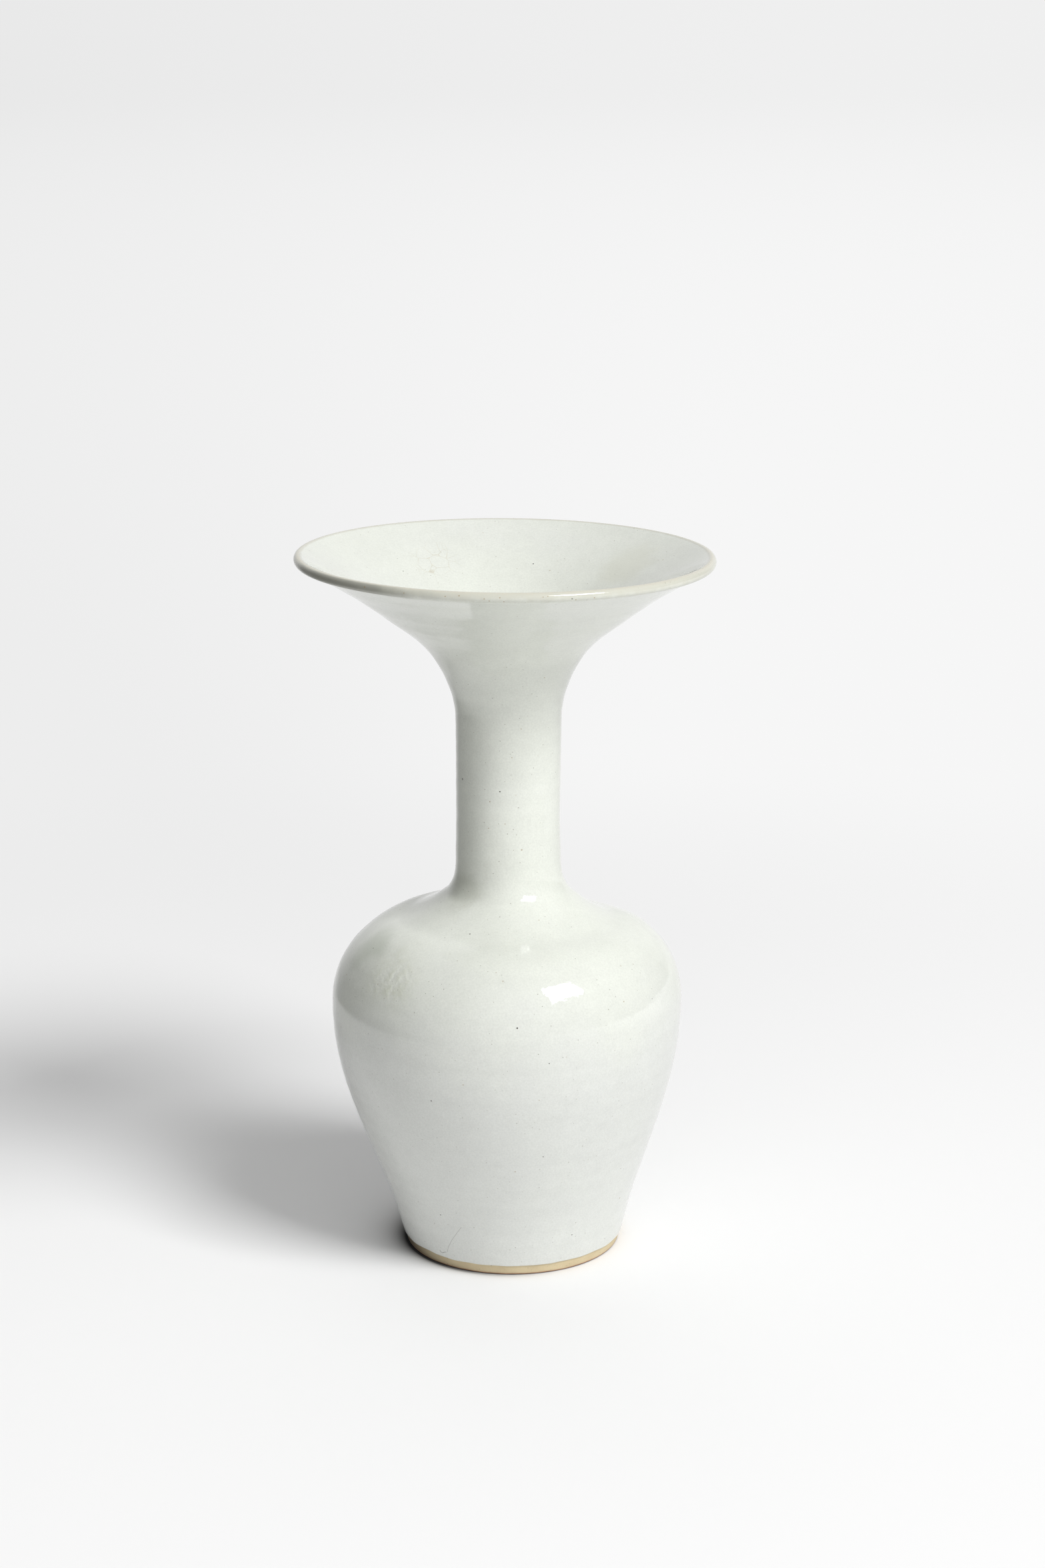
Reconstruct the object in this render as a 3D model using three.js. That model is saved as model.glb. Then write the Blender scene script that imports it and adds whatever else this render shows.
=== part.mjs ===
// A stoneware vase: a trumpet mouth on a slim neck over a low, wide belly, on a turned foot ring.
// It is thrown in four sections that are keyed together with slip. One coat of glaze covers the
// outside down to a bare band at the foot, another lines the inside, and they meet on the lip.
// Sizes are in millimetres, angles in degrees. +Z is up, and the origin is the centre of the
// circle that the vase stands on.

import * as THREE from 'three';
import { toCreasedNormals } from 'three/addons/utils/BufferGeometryUtils.js';

// Driving dimensions

const HEIGHT = 280; // table to the crest of the lip

// Up the body from the foot, each one a rise above the one before it
const BARE_BAND_HEIGHT = 4.2;
const HEEL_RISE = 17.8;
const BODY_JOINT_RISE = 57;
const BELLY_RISE = 22.6;
const SHOULDER_RISE = 31;
const NECK_ROOT_RISE = 9.2;
const NECK_FOOT_RISE = 18.3;

// Down the mouth from the crest of the lip. The neck is as long as what is left between.
const FLARE_DEPTH = 30.1;
const THROAT_DEPTH = 66;

// Radii of the outside of the clay
const FOOT_RADIUS = 42.7;
const HEEL_RADIUS = 48.6;
const BODY_JOINT_RADIUS = 66.9;
const BELLY_RADIUS = 69;
const SHOULDER_RADIUS = 44.4;
const NECK_ROOT_RADIUS = 25.8;
const NECK_FOOT_RADIUS = 20.4;
const THROAT_RADIUS = 20.3;
const FLARE_RADIUS = 37.6;
const LIP_RADIUS = 79.2;

// Lean of the wall, outward from straight up
const BARE_BAND_LEAN = 15;
const HEEL_LEAN = 18;
const BODY_JOINT_LEAN = 11;
const SHOULDER_LEAN = -80;
const NECK_ROOT_LEAN = -48;
const THROAT_LEAN = 2;
const FLARE_LEAN = 51;
const LIP_LEAN = 62.5;

// Thickness of the clay wall, square to its outside
const HEEL_WALL = 6.5;
const BODY_JOINT_WALL = 5;
const BELLY_WALL = 4.6;
const SHOULDER_WALL = 4.8;
const NECK_ROOT_WALL = 4.6;
const NECK_FOOT_WALL = 4.2;
const THROAT_WALL = 4;
const FLARE_WALL = 3.6;

// Foot ring, base and floor
const FOOT_RING_WIDTH = 7;
const FOOT_RECESS_DEPTH = 3.2;
const FOOT_EDGE_ROUND = 0.8;
const BASE_THICKNESS = 7;
const FLAT_FLOOR_RADIUS = 22;

// Rolled lip
const LIP_ROLL_RADIUS = 1.6;
const UNDERCUT_ANGLE = -118; // where the wall runs into the roll, counted from level outward

// Joints between the sections
const SLIP_THICKNESS = 0.6;
const JOINT_KEY_HEIGHT = 1.6;

// Glaze
const GLAZE_THICKNESS = 0.5;
const LIP_GLAZE_THICKNESS = 0.3;

// Facets, where a sag is how far a flat may stand off the true curve
const FACETS_ROUND = 36;
const OUTSIDE_SAG = 0.35;
const INSIDE_SAG = 0.6;
const ROLL_TURN_PER_FACET = 42;
const SMALL_ROUND_TURN_PER_FACET = 45;

// Finishes
const glaze = { color: '#dfe3d8', roughness: 0.16, metalness: 0 };
const bareClay = { color: '#cdb48b', roughness: 0.85, metalness: 0 };
const driedSlip = { color: '#bda27c', roughness: 0.9, metalness: 0 };

// Directions in the plane of the profile, where x is the radius and y is the height

const QUARTER_TURN = 90;

function alongWall(lean, distance) {
  const angle = THREE.MathUtils.degToRad(lean);
  return new THREE.Vector2(Math.sin(angle), Math.cos(angle)).multiplyScalar(distance);
}

function outOfWall(lean, distance) {
  const angle = THREE.MathUtils.degToRad(lean);
  return new THREE.Vector2(Math.cos(angle), -Math.sin(angle)).multiplyScalar(distance);
}

function polar(centre, radius, degrees) {
  const angle = THREE.MathUtils.degToRad(degrees);
  return new THREE.Vector2(Math.cos(angle), Math.sin(angle)).multiplyScalar(radius).add(centre);
}

// A station is a point that the clay passes through, its lean there, and the wall's thickness

function station(radius, height, lean, wall) {
  return { point: new THREE.Vector2(radius, height), lean, wall };
}

function slidAlongWall(from, distance) {
  return { ...from, point: from.point.clone().add(alongWall(from.lean, distance)) };
}

function insideOf(from) {
  return { ...from, point: from.point.clone().sub(outOfWall(from.lean, from.wall)) };
}

// Points on the curve between two stations. Its handles and its sag are those of a circular arc
// of the same chord and turn.
function stretch(lower, upper, facetSag) {
  const turn = THREE.MathUtils.degToRad(Math.abs(upper.lean - lower.lean));
  const chord = lower.point.distanceTo(upper.point);
  const handle = chord / (3 * Math.cos(turn / 4) ** 2);
  const sag = (chord / 2) * Math.tan(turn / 4);
  const curve = new THREE.CubicBezierCurve(
    lower.point,
    lower.point.clone().add(alongWall(lower.lean, handle)),
    upper.point.clone().sub(alongWall(upper.lean, handle)),
    upper.point,
  );
  return curve.getPoints(Math.max(1, Math.ceil(Math.sqrt(sag / facetSag))));
}

function curveThrough(stations, facetSag) {
  const points = [stations[0].point];
  for (let i = 1; i < stations.length; i += 1) {
    points.push(...stretch(stations[i - 1], stations[i], facetSag).slice(1));
  }
  return points;
}

function arc(centre, radius, startDegrees, endDegrees, turnPerFacet) {
  const steps = Math.max(1, Math.round(Math.abs(endDegrees - startDegrees) / turnPerFacet));
  const points = [];
  for (let i = 0; i <= steps; i += 1) {
    points.push(polar(centre, radius, startDegrees + ((endDegrees - startDegrees) * i) / steps));
  }
  return points;
}

// Stations up the vase

const heelHeight = BARE_BAND_HEIGHT + HEEL_RISE;
const bodyJointHeight = heelHeight + BODY_JOINT_RISE;
const bellyHeight = bodyJointHeight + BELLY_RISE;
const shoulderHeight = bellyHeight + SHOULDER_RISE;
const neckRootHeight = shoulderHeight + NECK_ROOT_RISE;
const neckFootHeight = neckRootHeight + NECK_FOOT_RISE;
const throatHeight = HEIGHT - THROAT_DEPTH;
const flareHeight = HEIGHT - FLARE_DEPTH;
const rollCentre = new THREE.Vector2(LIP_RADIUS, HEIGHT - LIP_GLAZE_THICKNESS - LIP_ROLL_RADIUS);

const glazeLineRadius = FOOT_RADIUS + BARE_BAND_HEIGHT * Math.tan(THREE.MathUtils.degToRad(BARE_BAND_LEAN));
const glazeLine = station(glazeLineRadius, BARE_BAND_HEIGHT, BARE_BAND_LEAN);
const heel = station(HEEL_RADIUS, heelHeight, HEEL_LEAN, HEEL_WALL);
const bodyJoint = station(BODY_JOINT_RADIUS, bodyJointHeight, BODY_JOINT_LEAN, BODY_JOINT_WALL);
const belly = station(BELLY_RADIUS, bellyHeight, 0, BELLY_WALL);
const shoulder = station(SHOULDER_RADIUS, shoulderHeight, SHOULDER_LEAN, SHOULDER_WALL);
const neckRoot = station(NECK_ROOT_RADIUS, neckRootHeight, NECK_ROOT_LEAN, NECK_ROOT_WALL);
const neckFoot = station(NECK_FOOT_RADIUS, neckFootHeight, 0, NECK_FOOT_WALL);
const throat = station(THROAT_RADIUS, throatHeight, THROAT_LEAN, THROAT_WALL);
const flare = station(FLARE_RADIUS, flareHeight, FLARE_LEAN, FLARE_WALL);

const underLip = { point: polar(rollCentre, LIP_ROLL_RADIUS, UNDERCUT_ANGLE), lean: LIP_LEAN };
const insideLipAngle = 2 * QUARTER_TURN - LIP_LEAN; // where the inside of the wall meets the roll smoothly
const insideLip = { point: polar(rollCentre, LIP_ROLL_RADIUS, insideLipAngle), lean: LIP_LEAN };
const floorEdge = station(FLAT_FLOOR_RADIUS, FOOT_RECESS_DEPTH + BASE_THICKNESS, QUARTER_TURN);

// Each joint has a station on the rim of the section below and one on the base of the section above

const below = (joint) => slidAlongWall(joint, -SLIP_THICKNESS / 2);
const above = (joint) => slidAlongWall(joint, SLIP_THICKNESS / 2);

// Middle of the wall at a joint, raised to the ridge of the key
function keyRidge(end) {
  const middle = end.point.clone().sub(outOfWall(end.lean, end.wall / 2));
  return middle.add(alongWall(end.lean, JOINT_KEY_HEIGHT));
}

// The clay's surface in one line, up the outside, over the lip and down the inside

const rollOutside = arc(rollCentre, LIP_ROLL_RADIUS, UNDERCUT_ANGLE, QUARTER_TURN, ROLL_TURN_PER_FACET);
const rollInside = arc(rollCentre, LIP_ROLL_RADIUS, QUARTER_TURN, insideLipAngle, ROLL_TURN_PER_FACET);

const upOutside = (...stations) => curveThrough(stations, OUTSIDE_SAG);
const downInside = (...stations) => curveThrough(stations, INSIDE_SAG).reverse();

const outside = {
  lowerBody: upOutside(glazeLine, heel, below(bodyJoint)),
  upperBody: upOutside(above(bodyJoint), belly, shoulder, below(neckRoot)),
  neck: upOutside(above(neckRoot), neckFoot, below(throat)),
  mouth: [...upOutside(above(throat), flare, underLip), ...rollOutside.slice(1)],
};

const inside = {
  lowerBody: downInside(floorEdge, insideOf(heel), insideOf(below(bodyJoint))),
  upperBody: downInside(...[above(bodyJoint), belly, shoulder, below(neckRoot)].map(insideOf)),
  neck: downInside(...[above(neckRoot), neckFoot, below(throat)].map(insideOf)),
  mouth: downInside(insideOf(above(throat)), insideOf(flare), insideLip),
};

const floorCentre = new THREE.Vector2(0, floorEdge.point.y);
const overLip = [...rollInside.slice(1), ...inside.mouth.slice(1)];

// Solids of revolution

// Twice the area that an outline encloses, positive when it runs counter-clockwise
function turnOf(outline) {
  let sum = 0;
  outline.forEach((point, i) => {
    sum += point.cross(outline[(i + 1) % outline.length]);
  });
  return sum;
}

// Turns an outline into a body. An outline that starts on the axis ends on it, and any other one
// is closed. Outlines that share an edge and run the same way along it get the same facets there.
function revolve(outline) {
  const onAxis = outline[0].x === 0;
  const geometry = new THREE.LatheGeometry(onAxis ? outline : [...outline, outline[0]], FACETS_ROUND);
  geometry.rotateX(Math.PI / 2);
  if (turnOf(outline) < 0) {
    const index = geometry.index;
    for (let i = 0; i < index.count; i += 3) {
      const second = index.getX(i + 1);
      index.setX(i + 1, index.getX(i + 2));
      index.setX(i + 2, second);
    }
  }
  return toCreasedNormals(geometry, THREE.MathUtils.degToRad(40));
}

function pieceOf(name, outline, finish) {
  const piece = new THREE.Mesh(revolve(outline), new THREE.MeshStandardMaterial(finish));
  piece.name = name;
  return piece;
}

// Clay sections

// Flat disc of the recess, the ring that the vase stands on, and the bare band up to the glaze
function footOutline() {
  const lean = THREE.MathUtils.degToRad(BARE_BAND_LEAN);
  const outerEdge = new THREE.Vector2(
    FOOT_RADIUS - (FOOT_EDGE_ROUND * (1 - Math.sin(lean))) / Math.cos(lean),
    FOOT_EDGE_ROUND,
  );
  const innerEdge = new THREE.Vector2(FOOT_RADIUS - FOOT_RING_WIDTH + FOOT_EDGE_ROUND, FOOT_EDGE_ROUND);
  return [
    new THREE.Vector2(0, FOOT_RECESS_DEPTH),
    new THREE.Vector2(FOOT_RADIUS - FOOT_RING_WIDTH, FOOT_RECESS_DEPTH),
    ...arc(innerEdge, FOOT_EDGE_ROUND, -2 * QUARTER_TURN, -QUARTER_TURN, SMALL_ROUND_TURN_PER_FACET),
    ...arc(outerEdge, FOOT_EDGE_ROUND, -QUARTER_TURN, -BARE_BAND_LEAN, SMALL_ROUND_TURN_PER_FACET),
  ];
}

function lowerBody() {
  const rim = below(bodyJoint);
  return [...footOutline(), ...outside.lowerBody, keyRidge(rim), ...inside.lowerBody, floorCentre];
}

function upperBody() {
  const rim = below(neckRoot);
  const base = above(bodyJoint);
  return [...outside.upperBody, keyRidge(rim), ...inside.upperBody, keyRidge(base)];
}

function neck() {
  const rim = below(throat);
  const base = above(neckRoot);
  return [...outside.neck, keyRidge(rim), ...inside.neck, keyRidge(base)];
}

function flaredMouth() {
  const base = above(throat);
  return [...outside.mouth, ...overLip, keyRidge(base)];
}

// Slip between two sections, as a ring with the same ridge on both faces
function slipRing(joint) {
  const rim = below(joint);
  const base = above(joint);
  return [rim.point, keyRidge(rim), insideOf(rim).point, insideOf(base).point, keyRidge(base), base.point];
}

// Glaze coats

// Thinner where it ran off the lip, and full from the flare down
function glazeThicknessAt(height) {
  const share = (height - flareHeight) / (underLip.point.y - flareHeight);
  return THREE.MathUtils.lerp(GLAZE_THICKNESS, LIP_GLAZE_THICKNESS, THREE.MathUtils.clamp(share, 0, 1));
}

// Face of the glaze over a line of clay, with mitred corners. The clay lies to the left of the line.
function glazeFace(line) {
  const faces = line.slice(1).map((point, i) => {
    const run = point.clone().sub(line[i]).normalize();
    return new THREE.Vector2(run.y, -run.x);
  });
  return line.map((point, i) => {
    const before = faces[Math.max(i - 1, 0)];
    const after = faces[Math.min(i, faces.length - 1)];
    const mitre = before.clone().add(after).divideScalar(1 + before.dot(after));
    return point.clone().addScaledVector(mitre, glazeThicknessAt(point.y));
  });
}

const claySurface = [
  ...outside.lowerBody,
  ...outside.upperBody,
  ...outside.neck,
  ...outside.mouth,
  ...overLip,
  ...inside.neck,
  ...inside.upperBody,
  ...inside.lowerBody,
  floorCentre,
];
const glazeSurface = glazeFace(claySurface);
const crest = claySurface.indexOf(outside.mouth.at(-1));

// Rounded lower edge, where the glaze stopped above the bare band
function glazeEdge() {
  const centre = glazeLine.point.clone().add(alongWall(glazeLine.lean, GLAZE_THICKNESS));
  const downTheWall = -QUARTER_TURN - glazeLine.lean;
  const squareToTheWall = -glazeLine.lean;
  return arc(centre, GLAZE_THICKNESS, downTheWall, squareToTheWall, SMALL_ROUND_TURN_PER_FACET).slice(1);
}

function outerGlaze() {
  const face = [...glazeEdge(), ...glazeSurface.slice(1, crest + 1)];
  return [...claySurface.slice(0, crest + 1), ...face.reverse()];
}

function innerGlaze() {
  return [...glazeSurface.slice(crest).reverse(), ...claySurface.slice(crest)];
}

const vase = new THREE.Group();
vase.add(
  pieceOf('lower_body', lowerBody(), bareClay),
  pieceOf('body_joint_slip', slipRing(bodyJoint), driedSlip),
  pieceOf('upper_body', upperBody(), bareClay),
  pieceOf('neck_root_slip', slipRing(neckRoot), driedSlip),
  pieceOf('neck', neck(), bareClay),
  pieceOf('throat_slip', slipRing(throat), driedSlip),
  pieceOf('flared_mouth', flaredMouth(), bareClay),
  pieceOf('outer_glaze', outerGlaze(), glaze),
  pieceOf('inner_glaze', innerGlaze(), glaze),
);

export default vase;
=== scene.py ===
# A stoneware vase with a pale grey-green glaze, photographed on a white paper floor.
# Lengths are in metres and angles in degrees unless a name says otherwise. +Z is up, and the
# origin is the centre of the circle that the vase stands on. The photographer stands at -Y.

import math
import random
from collections import namedtuple

import bpy
from mathutils import Euler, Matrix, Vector
from mathutils.bvhtree import BVHTree
from mathutils.geometry import interpolate_bezier


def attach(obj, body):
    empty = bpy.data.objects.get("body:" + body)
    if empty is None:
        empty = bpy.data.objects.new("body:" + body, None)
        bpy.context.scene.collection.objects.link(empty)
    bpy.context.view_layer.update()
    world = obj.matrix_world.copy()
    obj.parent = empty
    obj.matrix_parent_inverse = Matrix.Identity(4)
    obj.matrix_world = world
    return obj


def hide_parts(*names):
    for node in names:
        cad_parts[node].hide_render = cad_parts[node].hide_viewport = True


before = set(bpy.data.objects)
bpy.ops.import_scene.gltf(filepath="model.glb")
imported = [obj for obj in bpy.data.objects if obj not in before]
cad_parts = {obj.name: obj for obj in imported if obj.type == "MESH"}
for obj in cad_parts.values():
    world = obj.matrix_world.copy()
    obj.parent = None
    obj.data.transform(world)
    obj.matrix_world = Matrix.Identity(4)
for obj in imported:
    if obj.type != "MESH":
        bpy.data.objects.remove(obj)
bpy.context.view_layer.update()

# Camera, from the photograph

PHOTO_WIDTH = 1568
PHOTO_HEIGHT = 2353
FOOT_CENTRE_X = 769.8
FOCAL_LENGTH_PX = 4578.6
LONG_SIDE_OF_FILM_MM = 36
CAMERA_DISTANCE = 1.15471
CAMERA_HEIGHT = 0.49108
CAMERA_DIP = 14.688

# Outside of the clay up the vase. The lean is outward from straight up, and the wall is the
# thickness of the clay square to its outside.

Station = namedtuple("Station", "radius height lean wall")

GLAZE_LINE = Station(0.04383, 0.0042, 15, 0.0065)
HEEL = Station(0.0486, 0.0220, 18, 0.0065)
BODY_JOINT = Station(0.0669, 0.0790, 11, 0.0050)
BELLY = Station(0.0690, 0.1016, 0, 0.0046)
SHOULDER = Station(0.0444, 0.1328, -78, 0.0048)
SHOULDER_TOP = Station(0.0358, 0.1363, -60, 0.0047)
NECK_ROOT = Station(0.0256, 0.1437, -48, 0.0046)
NECK_FOOT = Station(0.0204, 0.1575, 0, 0.0042)
THROAT = Station(0.0203, 0.2140, 2, 0.0040)
FLARE = Station(0.0376, 0.2499, 51, 0.0036)

ROLL_CENTRE = Vector((0.0792, 0.2781))
ROLL_RADIUS = 0.0016
ROLL_START = -118
ROLL_CREST = 90
LIP_LEAN = 62.5

FOOT_RADIUS = 0.0427
FOOT_RING_WIDTH = 0.0070
FOOT_RECESS = 0.0032
FOOT_EDGE_ROUND = 0.0008
RECESS_MIDDLE_RADIUS = 0.0180
BASE_THICKNESS = 0.0070
FLAT_FLOOR_RADIUS = 0.0220

SLIP_THICKNESS = 0.0006
KEY_HEIGHT = 0.0016
GLAZE_THICKNESS = 0.0005
LIP_GLAZE_THICKNESS = 0.0003

# How finely the outlines and the turns are stepped

OUTSIDE_SPACING = 0.0013
INSIDE_SPACING = 0.0022
FINE_END = 5
FINE_STEPS = 4
ROLL_STEPS = 22
ROLL_STEPS_INSIDE = 4
SMALL_ARC_STEPS = 5
BAND_STEPS = 4
STEPS_ROUND = 160


# Lines of the wall, as points of (radius, height)

def along(lean, distance):
    angle = math.radians(lean)
    return Vector((math.sin(angle), math.cos(angle))) * distance


def outward(lean, distance):
    angle = math.radians(lean)
    return Vector((math.cos(angle), -math.sin(angle))) * distance


def place(station):
    return Vector((station.radius, station.height))


def slid(station, distance):
    spot = place(station) + along(station.lean, distance)
    return station._replace(radius=spot.x, height=spot.y)


def inside_of(station):
    spot = place(station) - outward(station.lean, station.wall)
    return station._replace(radius=spot.x, height=spot.y)


def parted_by_slip(station):
    return slid(station, -SLIP_THICKNESS / 2), slid(station, SLIP_THICKNESS / 2)


def line_through(stations, spacing):
    points = [place(stations[0])]
    for lower, upper in zip(stations, stations[1:]):
        chord = (place(upper) - place(lower)).length
        turn = math.radians(upper.lean - lower.lean)
        handle = chord / (3 * math.cos(turn / 4) ** 2)
        points += interpolate_bezier(
            place(lower),
            place(lower) + along(lower.lean, handle),
            place(upper) - along(upper.lean, handle),
            place(upper),
            math.ceil(chord / spacing) + 1,
        )[1:]
    return points


def arc(centre, radius, start, end, steps):
    turns = [math.radians(start + (end - start) * i / steps) for i in range(steps + 1)]
    return [centre + Vector((math.cos(turn), math.sin(turn))) * radius for turn in turns]


below_body_joint, above_body_joint = parted_by_slip(BODY_JOINT)
below_neck_root, above_neck_root = parted_by_slip(NECK_ROOT)
below_throat, above_throat = parted_by_slip(THROAT)

roll_outside = arc(ROLL_CENTRE, ROLL_RADIUS, ROLL_START, ROLL_CREST, ROLL_STEPS)
roll_inside = arc(ROLL_CENTRE, ROLL_RADIUS, ROLL_CREST, 180 - LIP_LEAN, ROLL_STEPS_INSIDE)
under_lip = Station(roll_outside[0].x, roll_outside[0].y, LIP_LEAN, 0)
inside_lip = Station(roll_inside[-1].x, roll_inside[-1].y, LIP_LEAN, 0)
floor_edge = Station(FLAT_FLOOR_RADIUS, FOOT_RECESS + BASE_THICKNESS, 90, 0)
floor_centre = Vector((0, FOOT_RECESS + BASE_THICKNESS))


# Ridges that the fingers left on the outside, each one a height, a rise and a half width: the
# waist of the neck, the start of the throat, the full underside of the mouth and the groove that
# sets off the rolled lip. Faint rings of uneven spacing run all the way up.

BROAD_RIDGES = (
    (0.1740, -0.00034, 0.0140),
    (0.2210, -0.00028, 0.0080),
    (0.2565, 0.00042, 0.0070),
    (0.2763, -0.00030, 0.00032),
)
RING_RISE = 0.00003
RING_SPACING = 0.0074
RING_SWAY = 1.9
RING_SWAY_LENGTH = 0.011


def finger_ridges(height):
    rise = sum(high * math.exp(-((height - at) / wide) ** 2) for at, high, wide in BROAD_RIDGES)
    sway = RING_SWAY * math.sin(height / RING_SWAY_LENGTH)
    return rise + RING_RISE * math.sin(math.tau * height / RING_SPACING + sway)


def raised(line, rise):
    runs = [(there - here).normalized() for here, there in zip(line, line[1:])]
    faces = [Vector((run.y, -run.x)) for run in runs]
    points = []
    for i, point in enumerate(line):
        before, after = faces[max(i - 1, 0)], faces[min(i, len(faces) - 1)]
        points.append(point + (before + after) * rise(point.y) / (1 + before.dot(after)))
    return points


def finer_at_end(line):
    points = line[:-FINE_END]
    for here, there in zip(line[-FINE_END - 1:], line[-FINE_END:]):
        points += [here.lerp(there, i / FINE_STEPS) for i in range(1, FINE_STEPS + 1)]
    return points


def up_outside(*stations):
    return raised(line_through(stations, OUTSIDE_SPACING), finger_ridges)


def up_to_lip(*stations):
    return raised(finer_at_end(line_through(stations, OUTSIDE_SPACING)), finger_ridges)


def down_inside(*stations):
    return line_through(stations, INSIDE_SPACING)[::-1]


lower_body_line = (GLAZE_LINE, HEEL, below_body_joint)
upper_body_line = (above_body_joint, BELLY, SHOULDER, SHOULDER_TOP, below_neck_root)
neck_line = (above_neck_root, NECK_FOOT, below_throat)

outside_lower_body = up_outside(*lower_body_line)
outside_upper_body = up_outside(*upper_body_line)
outside_neck = up_outside(*neck_line)
outside_mouth = up_to_lip(above_throat, FLARE, under_lip) + roll_outside[1:]

below_roll = down_inside(inside_of(above_throat), inside_of(FLARE), inside_lip)
inside_mouth = roll_inside[1:] + below_roll[1:]
inside_neck = down_inside(*map(inside_of, neck_line))
inside_upper_body = down_inside(*map(inside_of, upper_body_line))
inside_lower_body = down_inside(floor_edge, inside_of(HEEL), inside_of(below_body_joint))


def key_ridge(end):
    return place(end) - outward(end.lean, end.wall / 2) + along(end.lean, KEY_HEIGHT)


# Bodies thrown from an outline. Each starts as a tiny plane, merged to one point, that is drawn
# along the outline and then spun.

STARTING_SIZE = 0.001
MERGE_DISTANCE = 0.000004
SMOOTH_BELOW = 40


def throw(name, outline):
    bpy.ops.object.select_all(action="DESELECT")
    bpy.ops.mesh.primitive_plane_add(
        size=STARTING_SIZE, location=(outline[0].x, 0, outline[0].y),
    )
    piece = bpy.context.object
    piece.name = piece.data.name = name
    bpy.ops.object.mode_set(mode="EDIT")
    bpy.ops.mesh.merge(type="CENTER")
    for here, there in zip(outline, outline[1:]):
        step = there - here
        bpy.ops.mesh.extrude_region_move(TRANSFORM_OT_translate={"value": (step.x, 0, step.y)})
    bpy.ops.mesh.select_all(action="SELECT")
    bpy.ops.mesh.spin(steps=STEPS_ROUND, angle=math.tau, center=(0, 0, 0), axis=(0, 0, 1))
    bpy.ops.mesh.select_all(action="SELECT")
    bpy.ops.mesh.remove_doubles(threshold=MERGE_DISTANCE)
    bpy.ops.mesh.normals_make_consistent(inside=False)
    bpy.ops.object.mode_set(mode="OBJECT")
    bpy.ops.object.transform_apply(location=True, rotation=True, scale=True)
    bpy.ops.object.shade_smooth_by_angle(angle=math.radians(SMOOTH_BELOW))
    return piece


def foot_outline():
    lean = math.radians(GLAZE_LINE.lean)
    edge = FOOT_EDGE_ROUND
    outer = Vector((FOOT_RADIUS - edge * (1 - math.sin(lean)) / math.cos(lean), edge))
    inner = Vector((FOOT_RADIUS - FOOT_RING_WIDTH + edge, edge))
    middle = Vector((RECESS_MIDDLE_RADIUS, FOOT_RECESS))
    corner = Vector((FOOT_RADIUS - FOOT_RING_WIDTH, FOOT_RECESS))
    ring = arc(inner, edge, -180, -90, SMALL_ARC_STEPS)
    ring += arc(outer, edge, -90, -GLAZE_LINE.lean, SMALL_ARC_STEPS)
    band = [ring[-1].lerp(outside_lower_body[0], i / BAND_STEPS) for i in range(1, BAND_STEPS)]
    return [Vector((0, FOOT_RECESS)), middle, corner, *ring, *band]


def closed(outline):
    return [*outline, outline[0]]


def slip_outline(lower, upper):
    under = [place(lower), key_ridge(lower), place(inside_of(lower))]
    over = [place(inside_of(upper)), key_ridge(upper), place(upper)]
    return closed(under + over)


lower_body = throw("lower_body_clay", [
    *foot_outline(), *outside_lower_body, key_ridge(below_body_joint), *inside_lower_body,
    floor_centre,
])
upper_body = throw("upper_body_clay", closed([
    *outside_upper_body, key_ridge(below_neck_root),
    *inside_upper_body, key_ridge(above_body_joint),
]))
neck = throw("neck_clay", closed([
    *outside_neck, key_ridge(below_throat), *inside_neck, key_ridge(above_neck_root),
]))
flared_mouth = throw("flared_mouth_clay", closed([
    *outside_mouth, *inside_mouth, key_ridge(above_throat),
]))
body_joint_slip = throw("body_joint_slip_ring", slip_outline(below_body_joint, above_body_joint))
neck_root_slip = throw("neck_root_slip_ring", slip_outline(below_neck_root, above_neck_root))
throat_slip = throw("throat_slip_ring", slip_outline(below_throat, above_throat))


# Glaze over the clay. It thins from the flare to the lip, and ends over the foot in a rounded
# edge.

def glaze_thickness(height):
    share = (height - FLARE.height) / (under_lip.height - FLARE.height)
    share = min(max(share, 0), 1)
    return GLAZE_THICKNESS + (LIP_GLAZE_THICKNESS - GLAZE_THICKNESS) * share


clay_outside = outside_lower_body + outside_upper_body + outside_neck + outside_mouth
clay_inside = inside_mouth + inside_neck + inside_upper_body + inside_lower_body + [floor_centre]
glaze_surface = raised(clay_outside + clay_inside, glaze_thickness)
crest = len(clay_outside) - 1

glaze_edge_centre = place(GLAZE_LINE) + along(GLAZE_LINE.lean, GLAZE_THICKNESS)
glaze_edge = arc(
    glaze_edge_centre, GLAZE_THICKNESS, -90 - GLAZE_LINE.lean, -GLAZE_LINE.lean, SMALL_ARC_STEPS,
)[1:]

outer_face = glaze_edge + glaze_surface[1:crest + 1]
inner_face = glaze_surface[crest:][::-1]
outer_glaze = throw("outer_glaze_coat", closed(clay_outside + outer_face[::-1]))
inner_glaze = throw("inner_glaze_coat", inner_face + [clay_outside[-1]] + clay_inside)

# The finish needs the distance to the crest of the lip. It grows faster inside, where the worn
# and thin glaze is a narrower ring.

GAP_GROWS_OUTSIDE = 1.0
GAP_GROWS_INSIDE = 3.0


def note_gap_to_crest(piece, growth):
    top = glaze_surface[crest]
    gaps = piece.data.attributes.new("gap_to_crest", "FLOAT", "POINT")
    for vertex, gap in zip(piece.data.vertices, gaps.data):
        x, y, z = vertex.co
        gap.value = (Vector((math.hypot(x, y), z)) - top).length * growth


note_gap_to_crest(outer_glaze, GAP_GROWS_OUTSIDE)
note_gap_to_crest(inner_glaze, GAP_GROWS_INSIDE)

pieces = [
    lower_body, body_joint_slip, upper_body, neck_root_slip, neck, throat_slip, flared_mouth,
    outer_glaze, inner_glaze,
]


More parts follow.
